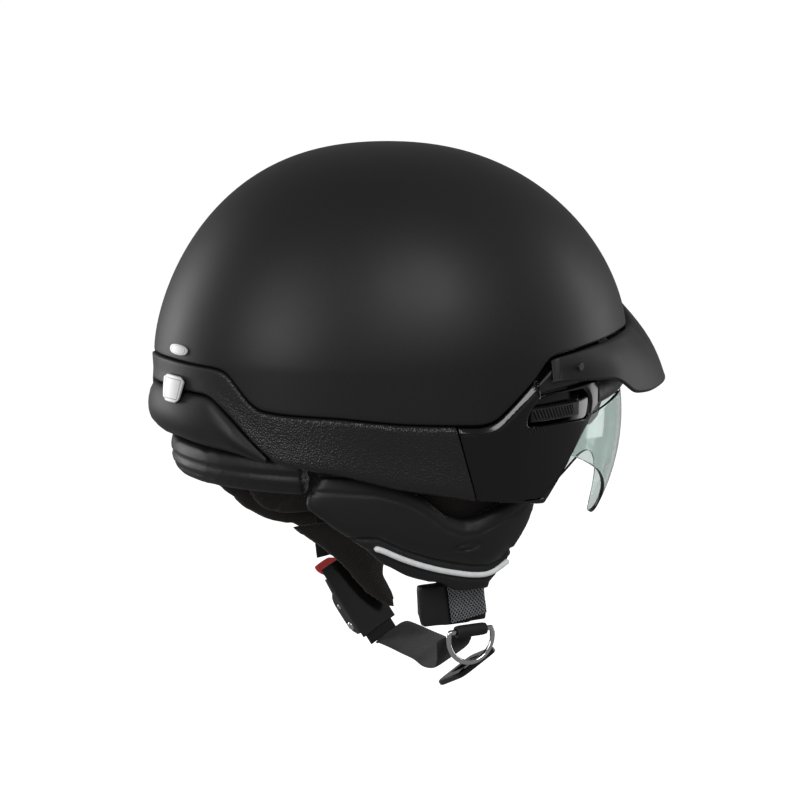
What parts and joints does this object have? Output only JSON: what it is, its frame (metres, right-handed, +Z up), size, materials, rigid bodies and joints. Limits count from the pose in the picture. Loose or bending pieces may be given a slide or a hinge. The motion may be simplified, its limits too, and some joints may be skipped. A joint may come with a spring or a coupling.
{
  "type": "open face motorcycle helmet",
  "caption": "Half-shell motorcycle helmet with a short peak, a drop-down smoke sun visor, padded ear curtains and a chin strap with a ratchet buckle and ring.",
  "frame": {"origin": "middle of the head space, level with the shell's widest line", "axes": "+Z up, -Y the wearer's front, +X the wearer's left"},
  "size_m": [0.2274, 0.2995, 0.2949],
  "materials": {
    "shell_matt": "matt",
    "grained_trim": "coarse grain, semi-matt",
    "gloss_panel": "gloss",
    "satin_plastic": "satin",
    "smoke_lens": "clear smoke tint",
    "steel": "brushed",
    "impact_foam": "fine beads, matt",
    "lining_fabric": "ribbed knit",
    "leather_look": "fine leather grain",
    "reflective_piping": "reflective",
    "webbing": "woven",
    "chrome": "polished",
    "silver_label": "satin",
    "red_plastic": "satin"
  },
  "bodies": {
    "helmet": {"brow_frame": "satin_plastic", "buckle_base": "gloss_panel", "buckle_cheek_front": "gloss_panel", "buckle_cheek_rear": "gloss_panel", "buckle_pin": "steel", "chin_band": "webbing", "crown_pad": "lining_fabric", "curtain_piping_left": "reflective_piping", "curtain_piping_right": "reflective_piping", "ear_curtain_left": "leather_look", "ear_curtain_right": "leather_look", "ear_pad_left": "lining_fabric", "ear_pad_right": "lining_fabric", "head_band": "lining_fabric", "horseshoe_trim": "grained_trim", "impact_liner": "impact_foam", "lower_strap_left": "webbing", "neck_roll": "leather_look", "outer_shell": "shell_matt", "peak": "shell_matt", "peak_screw_left": "satin_plastic", "peak_screw_right": "satin_plastic", "pivot_bracket_left": "steel", "pivot_bracket_right": "steel", "pivot_screw_left": "steel", "pivot_screw_right": "steel", "rear_badge": "silver_label", "rear_label": "silver_label", "rear_skirt": "shell_matt", "reflective_webbing": "webbing", "side_panel_left": "gloss_panel", "side_panel_right": "gloss_panel", "slider_track_left": "satin_plastic", "slider_track_right": "satin_plastic", "strap_adjuster": "satin_plastic", "strap_anchor_left": "steel", "strap_anchor_right": "steel", "strap_pad_left": "lining_fabric", "strap_sleeve_right": "leather_look", "strap_webbing_left": "webbing", "strap_webbing_right": "webbing", "webbing_loop": "webbing"},
    "visor": {"sun_visor": "smoke_lens", "visor_hub_right": "satin_plastic", "visor_hub_left": "satin_plastic"},
    "lever_right": {"visor_lever_right": "satin_plastic"},
    "lever_left": {"visor_lever_left": "satin_plastic"},
    "ring": {"d_ring": "chrome"},
    "buckle_latch": {"buckle_lever": "gloss_panel", "release_tab": "red_plastic"},
    "ratchet": {"ratchet_strap": "satin_plastic"}
  },
  "joints": [
    {"name": "visor_pivot", "type": "hinge", "parent": "helmet", "child": "visor", "pos_m": [0, -0.024, -0.043], "axis": [-1, 0, 0], "range_deg": [0, 40]},
    {"name": "lever_right_track", "type": "hinge", "parent": "helmet", "child": "lever_right", "pos_m": [0.042, -0.001, -0.028], "axis": [0, 0, -1], "range_deg": [0, 6]},
    {"name": "lever_left_track", "type": "hinge", "parent": "helmet", "child": "lever_left", "pos_m": [-0.042, -0.001, -0.028], "axis": [0, 0, 1], "range_deg": [0, 6]},
    {"name": "ring_swing", "type": "hinge", "parent": "helmet", "child": "ring", "pos_m": [-0.0785, -0.004, -0.147], "axis": [0, 1, 0], "range_deg": [-5, 75]},
    {"name": "latch_hinge", "type": "hinge", "parent": "helmet", "child": "buckle_latch", "pos_m": [0.05761, -0.0139, -0.16955], "axis": [-0.1562, 0.9073, -0.3904], "range_deg": [0, 30], "stiffness_Nm_per_rad": 0.05},
    {"name": "ratchet_slide", "type": "slide", "parent": "helmet", "child": "ratchet", "axis": [0.3404, 0.4205, 0.841], "range_m": [0, 0.008]}
  ],
  "couplings": [
    {"joint": "lever_right_track", "follows": "visor_pivot", "ratio": 0.14},
    {"joint": "lever_left_track", "follows": "visor_pivot", "ratio": 0.14}
  ]
}
